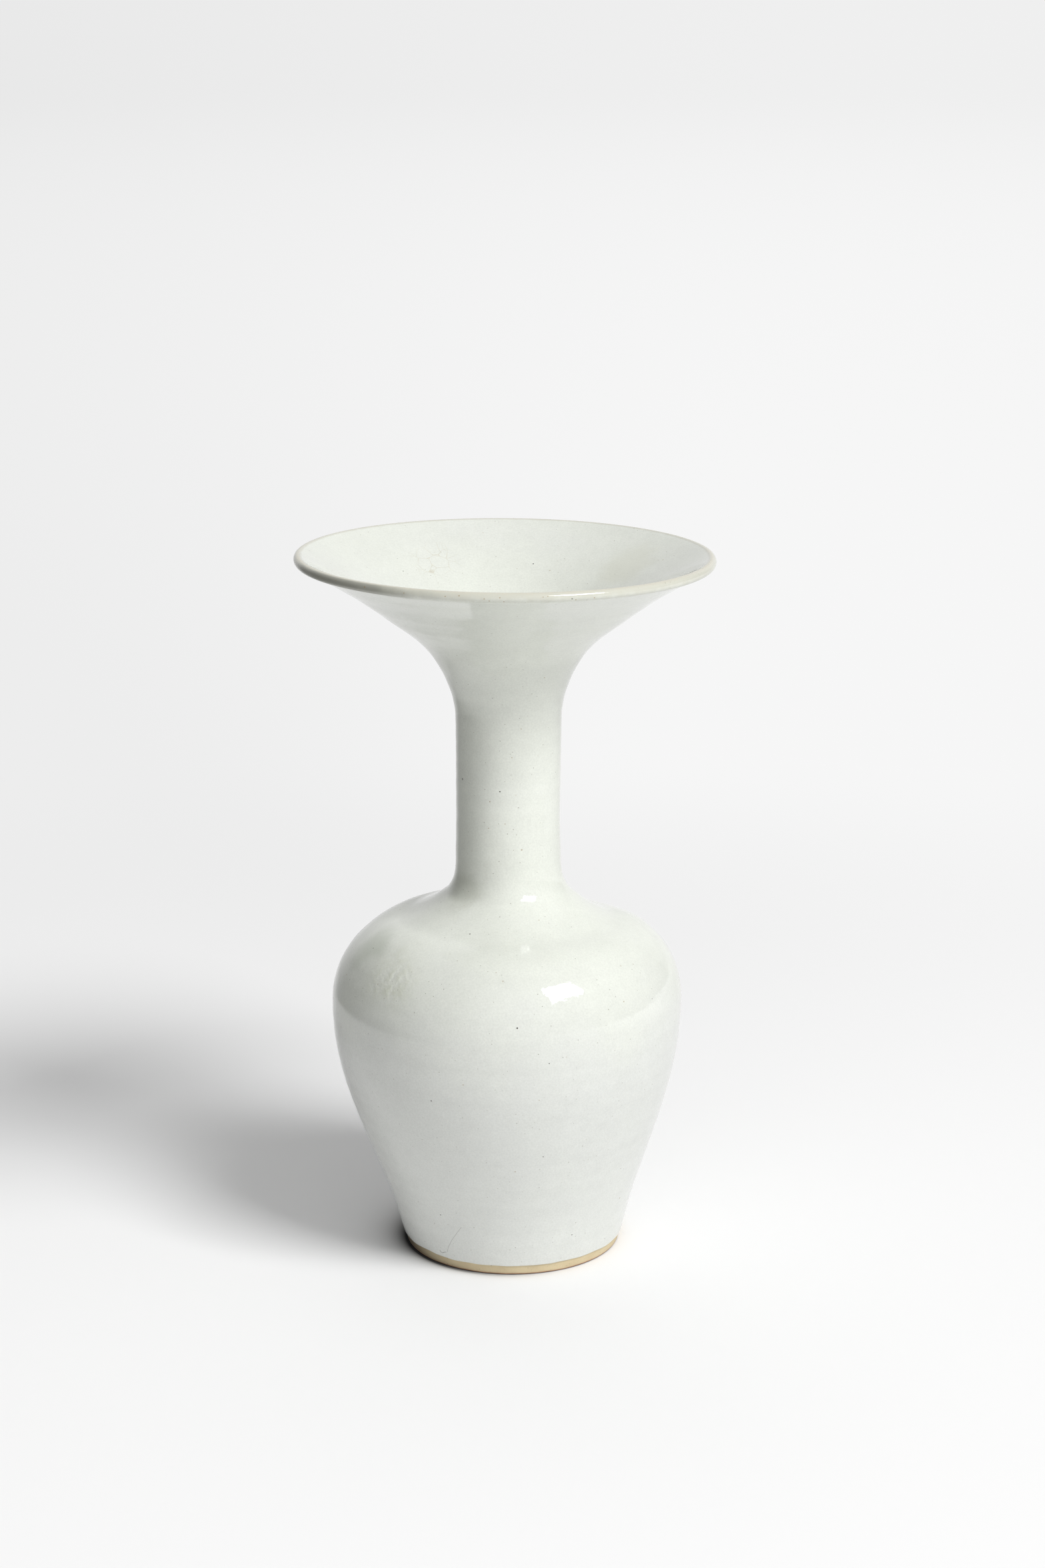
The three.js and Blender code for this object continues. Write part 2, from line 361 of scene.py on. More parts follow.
def shape_with(kind, pieces, **settings):
    for piece in pieces:
        bpy.ops.object.select_all(action="DESELECT")
        bpy.context.view_layer.objects.active = piece
        piece.select_set(True)
        bpy.ops.object.modifier_add(type=kind)
        for name, value in settings.items():
            setattr(piece.modifiers[-1], name, value)
        bpy.ops.object.modifier_apply(modifier=piece.modifiers[-1].name)


# The glaze stops at the foot in a line that wanders a little, where the dipped edge was wiped

GLAZE_EDGE_WANDER = 0.0010
GLAZE_EDGE_WAVE = 0.011
STILL_ABOVE_EDGE = 0.0065


def wander_glaze_edge():
    near_edge = outer_glaze.vertex_groups.new(name="near_glaze_edge")
    for vertex in outer_glaze.data.vertices:
        share = 1 - (vertex.co.z - GLAZE_LINE.height) / STILL_ABOVE_EDGE
        if share > 0:
            near_edge.add([vertex.index], min(share, 1), "REPLACE")
    wave = bpy.data.textures.new("wiped_edge", "CLOUDS")
    wave.noise_scale = GLAZE_EDGE_WAVE
    shape_with(
        "DISPLACE", [outer_glaze], texture=wave, direction="Z", strength=GLAZE_EDGE_WANDER,
        vertex_group=near_edge.name,
    )


# Pushes that the soft clay took when the neck was set on, each one a place, a move and a reach

PUSHES = {
    "up_behind_left_of_neck": ((-0.028, 0.032, 0.1340), (0, 0, 0.00125), 0.038),
    "down_behind_right_of_neck": ((0.030, 0.034, 0.1340), (0, 0, -0.0019), 0.032),
    "up_in_front_of_neck": ((0.010, -0.042, 0.1310), (0, 0, 0.0022), 0.060),
    "up_on_front_left_of_shoulder": ((-0.036, -0.025, 0.1300), (-0.0003, -0.0002, 0.0018), 0.031),
}


def add_marker(spot):
    bpy.ops.object.select_all(action="DESELECT")
    bpy.ops.object.empty_add(location=spot)
    return bpy.context.object


def push_clay(spot, move, reach):
    before, after = add_marker(spot), add_marker(Vector(spot) + Vector(move))
    bpy.context.view_layer.update()
    shape_with(
        "WARP", pieces, object_from=before, object_to=after, falloff_radius=reach,
        falloff_type="SMOOTH",
    )
    for marker in (before, after):
        bpy.data.objects.remove(marker)


# The vase leaned a little as it was thrown, its rim isn't quite level, and it isn't quite round. A
# cage of points round the whole vase carries every piece along in the same way.

LEVELS_OF_CAGE = 9
COLUMNS_OF_CAGE = 5
CAGE_WIDTH = 0.166
CAGE_HEIGHT = 0.280
LEAN_BY_LEVEL = (0, -0.0007, -0.0024, -0.0025, -0.0014, -0.0022, -0.0012, -0.0018, -0.0028)
DROP_TO_RIGHT = (0, 0, 0, 0, 0, 0.05, 0.15, 0.4, 0.5)
UNEVENNESS = 0.0005
HAND_SEED = 7


def add_cage():
    bpy.ops.object.select_all(action="DESELECT")
    bpy.ops.object.add(type="LATTICE", location=(0, 0, CAGE_HEIGHT / 2))
    cage = bpy.context.object
    cage.scale = (CAGE_WIDTH, CAGE_WIDTH, CAGE_HEIGHT)
    cage.data.points_u = cage.data.points_v = COLUMNS_OF_CAGE
    cage.data.points_w = LEVELS_OF_CAGE
    hand = random.Random(HAND_SEED)
    for i, point in enumerate(cage.data.points):
        level = i // COLUMNS_OF_CAGE ** 2
        loose = 0 if level == 0 else UNEVENNESS
        shift = Vector((hand.uniform(-loose, loose), hand.uniform(-loose, loose), 0))
        shift.x += LEAN_BY_LEVEL[level]
        shift.z -= point.co_deform.x * CAGE_WIDTH * math.radians(DROP_TO_RIGHT[level])
        point.co_deform += Vector((
            shift.x / CAGE_WIDTH, shift.y / CAGE_WIDTH, shift.z / CAGE_HEIGHT,
        ))
    return cage


wander_glaze_edge()
for push in PUSHES.values():
    push_clay(*push)
cage = add_cage()
shape_with("LATTICE", pieces, object=cage)
bpy.data.objects.remove(cage)


# A pixel of the photograph falls on the glaze where the camera sees it

dip = math.radians(CAMERA_DIP)
depth_of_foot = CAMERA_DISTANCE * math.cos(dip) + CAMERA_HEIGHT * math.sin(dip)
right_of_foot = (PHOTO_WIDTH / 2 - FOOT_CENTRE_X) * depth_of_foot / FOCAL_LENGTH_PX
camera_place = Vector((right_of_foot, -CAMERA_DISTANCE, CAMERA_HEIGHT))
camera_turn = Euler((math.pi / 2 - dip, 0, 0))

finished_shapes = bpy.context.evaluated_depsgraph_get()
glazed_skins = [BVHTree.FromObject(coat, finished_shapes) for coat in (outer_glaze, inner_glaze)]


def on_glaze(x, y):
    ray = Vector((x - PHOTO_WIDTH / 2, PHOTO_HEIGHT / 2 - y, -FOCAL_LENGTH_PX)).normalized()
    ray.rotate(camera_turn)
    hits = [skin.ray_cast(camera_place, ray) for skin in glazed_skins]
    return min((hit for hit in hits if hit[0]), key=lambda hit: hit[3])[0]


# Nodes of a finish. add gives back the node, and each helper below it the socket that holds its
# result.

def add(tree, kind, inputs=None, **settings):
    node = tree.nodes.new("ShaderNode" + kind)
    for name, value in settings.items():
        setattr(node, name, value)
    for name, value in (inputs or {}).items():
        if isinstance(value, bpy.types.NodeSocket):
            tree.links.new(value, node.inputs[name])
        else:
            node.inputs[name].default_value = value
    return node


def reckon(tree, operation, first, second=0.0):
    return add(tree, "Math", {0: first, 1: second}, operation=operation).outputs[0]


def scaled(tree, value, factor):
    return reckon(tree, "MULTIPLY", value, factor)


def stronger(tree, first, second):
    return reckon(tree, "MAXIMUM", first, second)


def summed(tree, *terms):
    total = terms[0]
    for term in terms[1:]:
        total = reckon(tree, "ADD", total, term)
    return total


def spread(tree, value, low, high, to_low=0.0, to_high=1.0):
    inputs = {"Value": value, "From Min": low, "From Max": high}
    inputs |= {"To Min": to_low, "To Max": to_high}
    return add(tree, "MapRange", inputs, interpolation_type="SMOOTHSTEP").outputs["Result"]


def fading(tree, value, start, end, strength=1.0):
    return spread(tree, value, start, end, strength, 0.0)


def vector(tree, operation, *values):
    node = add(tree, "VectorMath", dict(enumerate(values)), operation=operation)
    return node.outputs["Vector"]


def measure(tree, operation, *values):
    node = add(tree, "VectorMath", dict(enumerate(values)), operation=operation)
    return node.outputs["Value"]


def scaled_vector(tree, value, factor):
    inputs = {0: value, "Scale": factor}
    return add(tree, "VectorMath", inputs, operation="SCALE").outputs["Vector"]


def facing(tree, direction, way, power):
    share = measure(tree, "DOT_PRODUCT", direction, way)
    return reckon(tree, "POWER", stronger(tree, share, 0.0), power)


def axis(tree, where, name):
    return add(tree, "SeparateXYZ", {"Vector": where}).outputs[name]


def blend_colours(tree, share, first, second):
    node = add(tree, "Mix", data_type="RGBA")
    sockets = (node.inputs[0], node.inputs[6], node.inputs[7])
    for socket, value in zip(sockets, (share, first, second)):
        if isinstance(value, bpy.types.NodeSocket):
            tree.links.new(value, socket)
        else:
            socket.default_value = value
    return node.outputs[2]


# Soft clouds. A stretch along Z flattens them into level bands, and a turn tilts the bands.

Cloud = namedtuple("Cloud", "size detail stretch turn", defaults=(None, None))


def clouds(tree, where, kind):
    if kind.stretch:
        turn = tuple(math.radians(angle) for angle in kind.turn)
        inputs = {"Vector": where, "Scale": kind.stretch, "Rotation": turn}
        where = add(tree, "Mapping", inputs).outputs[0]
    inputs = {"Vector": where, "Scale": 1 / kind.size, "Detail": kind.detail}
    return add(tree, "TexNoise", inputs).outputs["Fac"]


# Scattered round specks, at most one in a cell. The share says how many cells have one, and the
# two strengths are those of the faintest and of the strongest.

Specks = namedtuple("Specks", "cell radius share strength")
SMALLEST_SPECK = 0.4
SPECK_EDGE = 0.5


def specks(tree, where, kind):
    largest = kind.radius / kind.cell
    smallest = SMALLEST_SPECK * kind.radius / kind.cell
    node = add(tree, "TexVoronoi", {"Vector": where, "Scale": 1 / kind.cell})
    pick = add(tree, "SeparateColor", {"Color": node.outputs["Color"]})
    chosen = reckon(tree, "LESS_THAN", pick.outputs[0], kind.share)
    size = spread(tree, pick.outputs[1], 0, 1, smallest, largest)
    near = reckon(tree, "SUBTRACT", 1.0, reckon(tree, "DIVIDE", node.outputs["Distance"], size))
    spots = scaled(tree, chosen, spread(tree, near, 0.0, SPECK_EDGE))
    return scaled(tree, spots, spread(tree, pick.outputs[2], 0, 1, *kind.strength))


# Marks at pixels of the photograph. A core is the share of the radius, or of a line's width, that
# is solid, and a patch also has an end and a raggedness as shares of its radius.

MILLIMETRE = 0.001
MARK_CORE = 0.5
HAIR_CORE = 0.4
PATCH_CORE = 0.9
PATCH_END = 1.7
PATCH_RAGGED = 1.2


def gap_from(tree, where, spot):
    return measure(tree, "DISTANCE", where, spot)


def round_marks(tree, where, marks):
    share = 0.0
    for x, y, radius_mm in marks.values():
        radius = radius_mm * MILLIMETRE
        gap = gap_from(tree, where, on_glaze(x, y))
        share = stronger(tree, share, fading(tree, gap, MARK_CORE * radius, radius))
    return share


def patch(tree, where, pixel, radius, ragged):
    gap = gap_from(tree, where, on_glaze(*pixel))
    gap = summed(tree, gap, scaled(tree, ragged, PATCH_RAGGED * radius))
    return fading(tree, gap, PATCH_CORE * radius, PATCH_END * radius)


def hair_line(tree, where, pixels, width):
    spots = [on_glaze(*pixel) for pixel in pixels]
    nearest = 1.0
    for start, end in zip(spots, spots[1:]):
        way = end - start
        offset = vector(tree, "SUBTRACT", where, start)
        share = measure(tree, "DOT_PRODUCT", offset, way / way.length_squared)
        share = add(tree, "Clamp", {"Value": share}).outputs[0]
        run = scaled_vector(tree, way, share)
        nearest = reckon(tree, "MINIMUM", nearest, measure(tree, "DISTANCE", offset, run))
    return fading(tree, nearest, HAIR_CORE * width, width)


def new_finish(name):
    material = bpy.data.materials.new(name)
    material.use_nodes = True
    tree = material.node_tree
    tree.nodes.clear()
    where = add(tree, "TexCoord").outputs["Object"]
    return material, tree, where


def fire(tree, colour, roughness, relief, unit=MILLIMETRE):
    bump = add(tree, "Bump", {"Height": relief, "Distance": unit, "Strength": 1.0})
    shader = add(tree, "BsdfPrincipled", {
        "Base Color": colour, "Roughness": roughness, "Normal": bump.outputs[0],
    })
    add(tree, "OutputMaterial", {"Surface": shader.outputs[0]})


# Glaze: its colour up the vase, warmer above the belly, and lighter at the foot and the shoulder as
# painted light from the paper below and from above. A pair of numbers is where a change starts and
# ends, or the values that it runs between.

GLAZE_COOL = (0.655, 0.668, 0.638, 1)
GLAZE_WARM = (0.672, 0.691, 0.634, 1)
WARM_PATCHES = Cloud(0.045, 3)
WARMER_HEIGHTS = (0.07, 0.13)
WARMER_BY = (-0.3, 0.3)
COOL_TO_WARM = (0.2, 0.9)

FOOT_HEIGHTS = (0.01, 0.09)
PAINTED_LIGHT_AT_FOOT = (0.035, -0.014)
SHOULDER_START = (0.112, 0.138)
PAINTED_LIGHT_ON_SHOULDER = (0.0, 0.030)
SHOULDER_END = (0.148, 0.165)

GLAZE_TONES = {
    "bands": (Cloud(0.1, 2, (0.6, 0.6, 14), (1.5, 2.0, 0)), 0.07),
    "mottle": (Cloud(0.012, 4), 0.07),
    "blotches": (Cloud(0.0045, 3), 0.07),
    "grain": (Cloud(0.0007, 2), 0.21),
}
TONE_WITHOUT_CLOUDS = 0.832


def colour_by_height(tree, where, height, tones):
    warm = spread(tree, height, *WARMER_HEIGHTS, *WARMER_BY)
    warm = summed(tree, warm, clouds(tree, where, WARM_PATCHES))
    colour = blend_colours(tree, spread(tree, warm, *COOL_TO_WARM), GLAZE_COOL, GLAZE_WARM)
    lit_shoulder_top = scaled(
        tree,
        spread(tree, height, *SHOULDER_START, *PAINTED_LIGHT_ON_SHOULDER),
        fading(tree, height, *SHOULDER_END),
    )
    # Painted light: lighter glaze near the paper at the foot and on the upward-facing shoulder
    lie = summed(tree, spread(tree, height, *FOOT_HEIGHTS, *PAINTED_LIGHT_AT_FOOT), lit_shoulder_top)
    layers = [scaled(tree, tones[name], strength) for name, (_, strength) in GLAZE_TONES.items()]
    tone = summed(tree, lie, *layers, TONE_WITHOUT_CLOUDS)
    return scaled_vector(tree, colour, tone)


# Patches of painted shade, each one a pixel, a radius, a strength and a colour, and a stained patch
# with small lumps in it

Tint = namedtuple("Tint", "pixel radius strength colour")

PAINTED_SHADE_PATCHES = {
    # Painted warm shade inside the right of the mouth, for the light bounced within it
    "painted_warm_shade_inside": Tint((940, 850), 0.016, 0.45, (0.625, 0.632, 0.535, 1)),
    # Painted shade on the left of the shoulder, where its curve turns from the light
    "painted_shade_on_left_shoulder": Tint((558, 1418), 0.013, 0.60, (0.505, 0.542, 0.462, 1)),
    # Painted shade in the crease at the left of the neck root
    "painted_shade_at_neck_root": Tint((694, 1337), 0.010, 0.38, (0.450, 0.465, 0.385, 1)),
}
GLAZE_STAIN = (0.560, 0.580, 0.465, 1)
STAINED_SHOULDER = (588, 1470)
STAIN_RADIUS = 0.016
STAIN_SMEARS = Cloud(0.0030, 5)
SMEARS_FROM_TO = (0.38, 0.70)
STAIN_STRENGTH = (0.10, 0.50)
LUMPS_IN_STAIN = 0.35


def with_painted_shade(tree, where, colour, mottle):
    # Each patch darkens the glaze as painted shade
    for tint in PAINTED_SHADE_PATCHES.values():
        share = patch(tree, where, tint.pixel, tint.radius, mottle)
        colour = blend_colours(tree, scaled(tree, share, tint.strength), colour, tint.colour)
    return colour


# The lip, where the glaze ran thin: a thin ring, a worn crest that is fainter at the back, and
# painted shade below the left of the roll, where it turns from the light

GLAZE_THIN = (0.560, 0.556, 0.478, 1)
GLAZE_AT_CREST = (0.595, 0.558, 0.455, 1)
PAINTED_SHADE_UNDER_LIP = (0.300, 0.300, 0.260, 1)
LIP_WAVES = Cloud(0.004, 3)
LIP_WAVE_RISE = 0.0020
THIN_RING = (0.0030, 0.0056)
THIN_STRENGTH = 0.85
WORN_RING = (0.0012, 0.0030)
WORN_STRENGTH = 0.55
FRONT_TO_BACK = (-0.02, 0.05)
WORN_FRONT_AND_BACK = (1.0, 0.3)
SHADE_UNDER_LIP_START = (0.0003, 0.0014)
SHADE_UNDER_LIP_END = (0.0036, 0.0058)
SHADE_UNDER_LIP_STRENGTH = 0.85
SHADED_LEFT_OF_LIP = (505, 877)
SHADE_UNDER_LIP_RADIUS = 0.048


def over_the_lip(tree, where, colour, mottle):
    gap = add(tree, "Attribute", attribute_name="gap_to_crest").outputs["Fac"]
    ragged = summed(tree, gap, scaled(tree, clouds(tree, where, LIP_WAVES), LIP_WAVE_RISE))
    thin = fading(tree, ragged, *THIN_RING, THIN_STRENGTH)
    colour = blend_colours(tree, thin, colour, GLAZE_THIN)
    by_depth = spread(tree, axis(tree, where, "Y"), *FRONT_TO_BACK, *WORN_FRONT_AND_BACK)
    worn = scaled(tree, fading(tree, ragged, *WORN_RING, WORN_STRENGTH), by_depth)
    colour = blend_colours(tree, worn, colour, GLAZE_AT_CREST)
    # Painted shade below the left of the roll
    below = fading(tree, gap, *SHADE_UNDER_LIP_END, SHADE_UNDER_LIP_STRENGTH)
    below = scaled(tree, spread(tree, gap, *SHADE_UNDER_LIP_START), below)
    shaded_left = patch(tree, where, SHADED_LEFT_OF_LIP, SHADE_UNDER_LIP_RADIUS, mottle)
    colour = blend_colours(tree, scaled(tree, below, shaded_left), colour, PAINTED_SHADE_UNDER_LIP)
    return colour, worn


# Crackle inside the mouth

CRACKLE_BROWN = (0.480, 0.425, 0.300, 1)
CRACKLE_PATCH = (650, 842)
CRACKLE_RADIUS = 0.013
CRACKLE_CELL = 0.0052
CRACKLE_WAVE = 0.004
CRACKLE_WAVE_DETAIL = 2.0
CRACKLE_SHIFT = 0.0008
CRACK_EDGES = (0.008, 0.022)
CRACKLE_FROM_TO = (0.30, 0.50)
CRACKLE_STRENGTH = (0.12, 0.50)


def crackled(tree, where, colour, mottle, blotches):
    inputs = {"Vector": where, "Scale": 1 / CRACKLE_WAVE, "Detail": CRACKLE_WAVE_DETAIL}
    shift = add(tree, "TexNoise", inputs).outputs["Color"]
    shift = scaled_vector(tree, shift, CRACKLE_SHIFT)
    inputs = {"Vector": vector(tree, "ADD", where, shift), "Scale": 1 / CRACKLE_CELL}
    cells = add(tree, "TexVoronoi", inputs, feature="DISTANCE_TO_EDGE")
    cracks = fading(tree, cells.outputs["Distance"], *CRACK_EDGES)
    cracks = scaled(tree, cracks, spread(tree, blotches, *CRACKLE_FROM_TO, *CRACKLE_STRENGTH))
    inside_patch = patch(tree, where, CRACKLE_PATCH, CRACKLE_RADIUS, mottle)
    return blend_colours(tree, scaled(tree, cracks, inside_patch), colour, CRACKLE_BROWN)


# Specks, spots and pinholes. Those seen in the photograph are each a pixel, across and down, and
# a radius in millimetres, and the two fine lines are each their pixels, a width and a strength.

FINE_SPECK = (0.300, 0.290, 0.240, 1)
IRON_SPECK = (0.330, 0.230, 0.110, 1)
PINHOLE = (0.060, 0.050, 0.040, 1)
FINE_SPECKS = Specks(0.0022, 0.00030, 0.9, (0.15, 0.75))
IRON_SPECKS = Specks(0.0065, 0.00048, 0.6, (0.15, 0.60))
PINHOLES = Specks(0.0105, 0.00040, 0.5, (0.80, 0.80))
BROWN_SPOT_STRENGTH = 0.65
PINHOLE_STRENGTH = 0.9

BLACK_PINHOLES = {
    "left_of_neck": (694, 1169, 0.50),
    "middle_of_neck": (750, 1188, 0.34),
    "left_shoulder": (560, 1423, 0.30),
    "left_belly": (647, 1652, 0.32),
    "front_belly": (776, 1543, 0.42),
    "low_left": (661, 1823, 0.30),
    "low_right": (858, 1853, 0.30),
    "middle_right": (815, 1736, 0.26),
    "middle": (824, 1596, 0.24),
    "far_left": (524, 1602, 0.26),
    "inside_mouth": (800, 846, 0.34),
    "inside_left": (605, 857, 0.26),
}
BROWN_SPOTS = {
    "neck_left": (735, 1203, 0.34),
    "neck_high": (768, 1137, 0.28),
    "neck_middle": (782, 1094, 0.28),
    "throat": (817, 1017, 0.30),
    "neck_low": (733, 1243, 0.28),
    "right_belly": (936, 1503, 0.34),
    "inside_mouth": (825, 856, 0.34),
    "right_of_highlight": (950, 1447, 0.26),
    "lip_1": (504, 871, 0.30),
    "lip_2": (547, 881, 0.40),
    "lip_3": (606, 890, 0.30),
    "lip_4": (668, 895, 0.32),
    "lip_5": (734, 902, 0.32),
    "lip_6": (750, 897, 0.34),
    "lip_7": (756, 903, 0.34),
    "lip_8": (815, 896, 0.28),
    "lip_9": (822, 895, 0.30),
    "lip_10": (864, 900, 0.32),
    "lip_11": (892, 897, 0.34),
}
FINE_LINES = {
    "hair_above_foot": (
        ((692, 1842), (685, 1851), (678, 1861), (673, 1871), (671, 1879)), 0.00014, 0.35,
    ),
    "squiggle_at_foot": (
        ((660, 1876), (662, 1879), (664, 1880), (667, 1879), (669, 1879)), 0.00016, 0.60,
    ),
}


def speckled(tree, where, colour):
    colour = blend_colours(tree, specks(tree, where, FINE_SPECKS), colour, FINE_SPECK)
    spots = scaled(tree, round_marks(tree, where, BROWN_SPOTS), BROWN_SPOT_STRENGTH)
    iron = stronger(tree, specks(tree, where, IRON_SPECKS), spots)
    colour = blend_colours(tree, iron, colour, IRON_SPECK)
    holes = specks(tree, where, PINHOLES)
    holes = stronger(tree, holes, round_marks(tree, where, BLACK_PINHOLES))
    marks = scaled(tree, holes, PINHOLE_STRENGTH)
    for pixels, width, strength in FINE_LINES.values():
        line = scaled(tree, hair_line(tree, where, pixels, width), strength)
        marks = stronger(tree, marks, line)
    return blend_colours(tree, marks, colour, PINHOLE), holes


# Relief of the glaze, in millimetres: orange peel, fine skin, slow swelling and the rings left by
# throwing, with ripples on the flare, lumps in the stain and pits at the pinholes

GLAZE_RELIEF = {
    "peel": (Cloud(0.0030, 2), 0.045),
    "skin": (Cloud(0.0010, 1), 0.016),
    "swell": (Cloud(0.013, 2), 0.13),
    "rings": (Cloud(0.1, 2, (0.5, 0.5, 13), (1.0, 1.5, 0)), 0.12),
}
RIPPLES = Cloud(0.1, 1, (0.7, 0.7, 38), (1.0, 1.5, 0))
RIPPLE_HEIGHTS = (0.225, 0.250)
RIPPLE_RISE = (0.01, 0.10)
PINHOLE_RISE = -0.2

MOTTLE_FROM_TO = (0.3, 0.7)
GLAZE_ROUGHNESS = (0.028, 0.050)
ROUGHER_WHERE_WORN = 0.45


def celadon_finish():
    material, tree, where = new_finish("pale_celadon_glaze")
    height = axis(tree, where, "Z")
    tones = {name: clouds(tree, where, cloud) for name, (cloud, _) in GLAZE_TONES.items()}
    mottle = tones["mottle"]

    colour = colour_by_height(tree, where, height, tones)
    colour = with_painted_shade(tree, where, colour, mottle)
    stained = patch(tree, where, STAINED_SHOULDER, STAIN_RADIUS, mottle)
    smears = clouds(tree, where, STAIN_SMEARS)
    stain = scaled(tree, stained, spread(tree, smears, *SMEARS_FROM_TO, *STAIN_STRENGTH))
    colour = blend_colours(tree, stain, colour, GLAZE_STAIN)
    colour, worn = over_the_lip(tree, where, colour, mottle)
    colour = crackled(tree, where, colour, mottle, tones["blotches"])
    colour, holes = speckled(tree, where, colour)

    layers = [scaled(tree, clouds(tree, where, kind), rise) for kind, rise in GLAZE_RELIEF.values()]
    ripple_rise = spread(tree, height, *RIPPLE_HEIGHTS, *RIPPLE_RISE)
    ripples = scaled(tree, clouds(tree, where, RIPPLES), ripple_rise)
    lumps = scaled(tree, stained, scaled(tree, smears, LUMPS_IN_STAIN))
    relief = summed(tree, *layers, ripples, lumps, scaled(tree, holes, PINHOLE_RISE))
    roughness = spread(tree, mottle, *MOTTLE_FROM_TO, *GLAZE_ROUGHNESS)
    roughness = summed(tree, roughness, scaled(tree, worn, ROUGHER_WHERE_WORN))
    fire(tree, colour, roughness, relief)
    return material


# Bare clay of the foot, with painted shade on the left, red toward the edge that it stands on, and
# painted black shade at that edge where it meets the paper. An edge colour has the heights that it
# fades between and its strength.

CLAY_BUFF = (0.675, 0.572, 0.372, 1)
CLAY_DARK = (0.520, 0.395, 0.232, 1)
CLAY_RED = (0.400, 0.210, 0.130, 1)
PAINTED_CONTACT_SHADE = (0.030, 0.018, 0.012, 1)
CLAY_GRIT = (0.170, 0.120, 0.070, 1)
CLAY_PAINTED_SHADE = (0.100, 0.072, 0.048, 1)
CLAY_PATCHES = Cloud(0.009, 4)
CLAY_PATCHES_FROM_TO = (0.3, 0.8)
DARK_CLAY_STRENGTH = 0.5
GRIT = Specks(0.0011, 0.00024, 0.75, (0.15, 0.75))
SHADED_SIDE_OF_FOOT = (-0.970, -0.243, 0)
FOOT_SHADE_NARROWNESS = 7.0
FOOT_SHADE_STRENGTH = 0.88
EDGE_WAVES = Cloud(0.006, 2)
EDGE_WAVE_RISE = 0.0004
RED_EDGE = (0.0008, 0.0013, 0.75)
PAINTED_CONTACT_EDGE = (0.0004, 0.0008, 0.95)
CLAY_TOOTH = Cloud(0.0006, 3)
CLAY_TOOTH_RISE = 0.12
GRIT_RISE = -0.08
CLAY_ROUGHNESS = 0.75


def bare_clay_finish():
    material, tree, where = new_finish("bare_buff_clay")
    patches = clouds(tree, where, CLAY_PATCHES)
    dark = spread(tree, patches, *CLAY_PATCHES_FROM_TO, 0.0, DARK_CLAY_STRENGTH)
    colour = blend_colours(tree, dark, CLAY_BUFF, CLAY_DARK)
    grit = specks(tree, where, GRIT)
    colour = blend_colours(tree, grit, colour, CLAY_GRIT)
    # Painted shade on the left of the foot, away from the light
    painted_shade = facing(tree, vector(tree, "NORMALIZE", where), SHADED_SIDE_OF_FOOT, FOOT_SHADE_NARROWNESS)
    colour = blend_colours(tree, scaled(tree, painted_shade, FOOT_SHADE_STRENGTH), colour, CLAY_PAINTED_SHADE)
    waves = scaled(tree, clouds(tree, where, EDGE_WAVES), EDGE_WAVE_RISE)
    height = summed(tree, axis(tree, where, "Z"), waves)
    colour = blend_colours(tree, fading(tree, height, *RED_EDGE), colour, CLAY_RED)
    # Painted contact shade along the edge that stands on the paper
    colour = blend_colours(tree, fading(tree, height, *PAINTED_CONTACT_EDGE), colour, PAINTED_CONTACT_SHADE)
    tooth = scaled(tree, clouds(tree, where, CLAY_TOOTH), CLAY_TOOTH_RISE)
    relief = summed(tree, tooth, scaled(tree, grit, GRIT_RISE))
    fire(tree, colour, CLAY_ROUGHNESS, relief)
    return material


# Dried slip, inside the joints

SLIP_DARK = (0.43, 0.33, 0.20, 1)
SLIP_PALE = (0.50, 0.39, 0.25, 1)
SLIP_PATCHES = Cloud(0.004, 4)
SLIP_PATCHES_FROM_TO = (0.3, 0.7)
SLIP_TOOTH = Cloud(0.0008, 3)
SLIP_TOOTH_RISE = 0.0001
SLIP_ROUGHNESS = 0.9


def dried_slip_finish():
    material, tree, where = new_finish("dried_slip")
    pale = spread(tree, clouds(tree, where, SLIP_PATCHES), *SLIP_PATCHES_FROM_TO)
    colour = blend_colours(tree, pale, SLIP_DARK, SLIP_PALE)
    fire(tree, colour, SLIP_ROUGHNESS, clouds(tree, where, SLIP_TOOTH), SLIP_TOOTH_RISE)
    return material


celadon = celadon_finish()
bare_clay = bare_clay_finish()
dried_slip = dried_slip_finish()

stands_for = {
    lower_body: ("lower_body", "clay", bare_clay),
    upper_body: ("upper_body", "clay", bare_clay),
    neck: ("neck", "clay", bare_clay),
    flared_mouth: ("flared_mouth", "clay", bare_clay),
    body_joint_slip: ("body_joint_slip", "slip", dried_slip),
    neck_root_slip: ("neck_root_slip", "slip", dried_slip),
    throat_slip: ("throat_slip", "slip", dried_slip),
    outer_glaze: ("outer_glaze", "glaze", celadon),
    inner_glaze: ("inner_glaze", "glaze", celadon),
}
for piece, (node_name, slot_name, finish) in stands_for.items():
    piece.data.materials.clear()
    piece.data.materials.append(finish)
    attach(piece, "root")
    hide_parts(node_name)

# Paper floor. White paper lies round the vase, painted lighter in front where more light falls.
# Past it lie boards that light the vase, pale in front and on the right, dim behind and dark on the
# left.
# The camera sees pale haze in their place, and so does a reflection of what lies behind the vase.

WHITE = (1, 1, 1, 1)
BLACK = (0, 0, 0, 1)
IN_FRONT = (0, -1, 0)
ON_RIGHT = (1, 0, 0)
BEHIND = (0, 1, 0)

